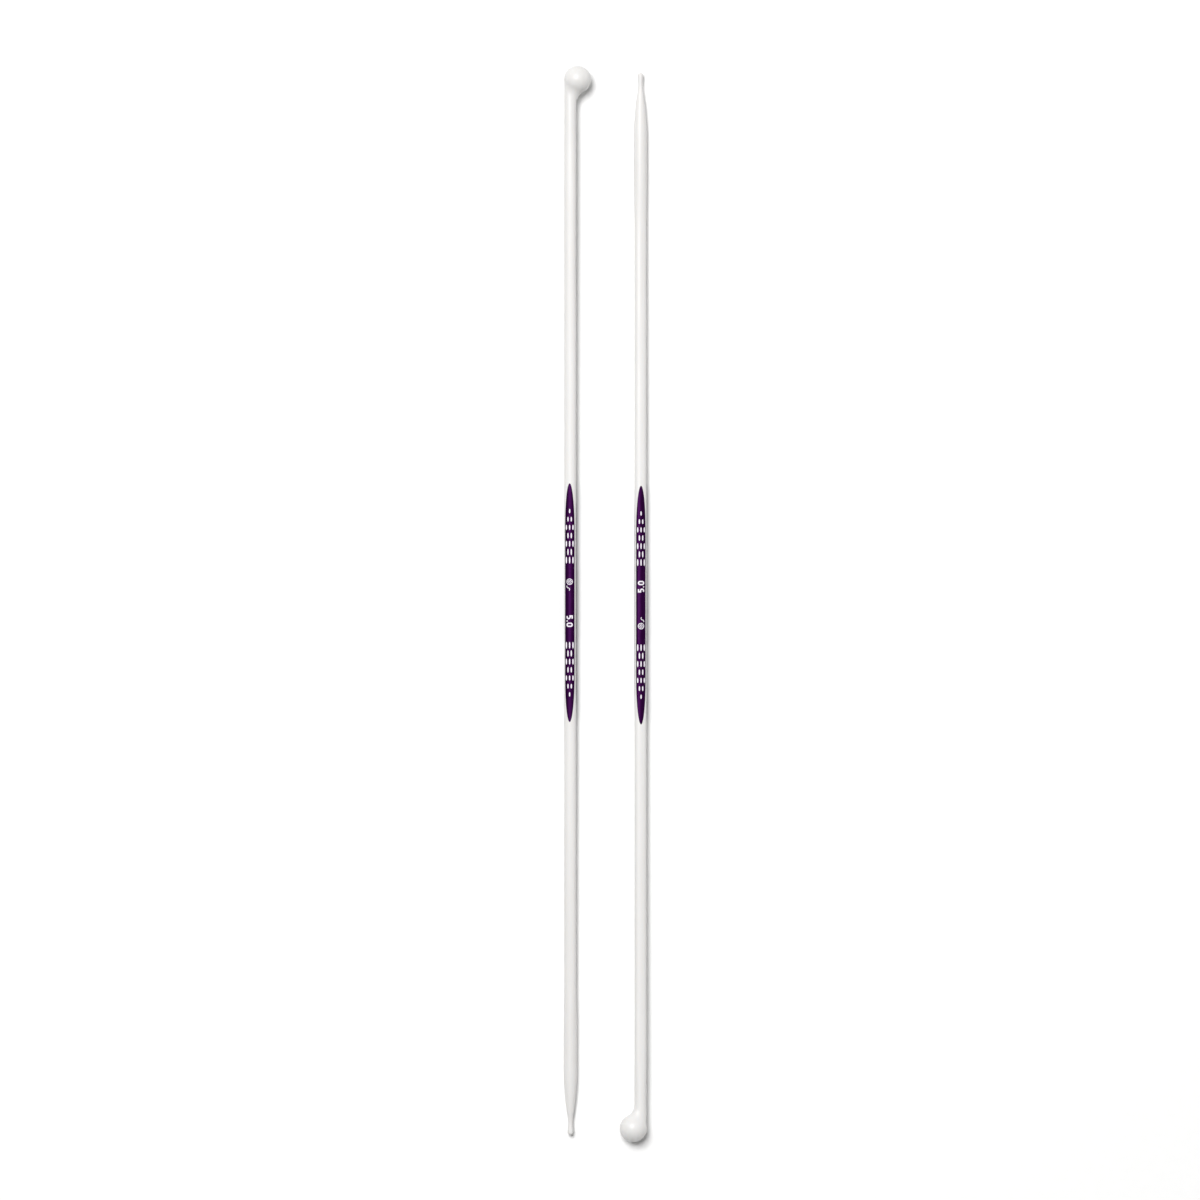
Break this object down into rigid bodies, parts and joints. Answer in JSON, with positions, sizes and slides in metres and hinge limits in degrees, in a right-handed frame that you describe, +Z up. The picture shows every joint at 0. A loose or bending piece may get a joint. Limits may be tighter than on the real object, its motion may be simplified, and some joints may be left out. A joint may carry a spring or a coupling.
{
  "type": "straight knitting needles",
  "caption": "Straight single-pointed knitting needles with off-centre ball ends, rounded-triangle shafts, a dark grip zone and drop-shaped points, lying side by side head to tail.",
  "frame": {"origin": "centre of the rectangle that the two needles cover, on the surface they lie on", "axes": "+Z up; the needles lie along Y, the ball of needle A at +Y and the ball of needle B at -Y; needle A is on the -X side"},
  "size_m": [0.0312, 0.4024, 0.0102],
  "materials": {
    "white_skin": "satin, fine moulded grain",
    "purple_core": "satin, glass-filled"
  },
  "bodies": {
    "needle_a": {"needle_a_ball_head": "white_skin", "needle_a_shaft": "white_skin", "needle_a_point": "white_skin", "needle_a_core": "purple_core"},
    "needle_b": {"needle_b_ball_head": "white_skin", "needle_b_shaft": "white_skin", "needle_b_point": "white_skin", "needle_b_core": "purple_core"}
  },
  "joints": [
    {"name": "needle_b_slide", "type": "slide", "parent": "needle_a", "child": "needle_b", "axis": [0, -1, 0], "range_m": [0, 0.41]}
  ]
}
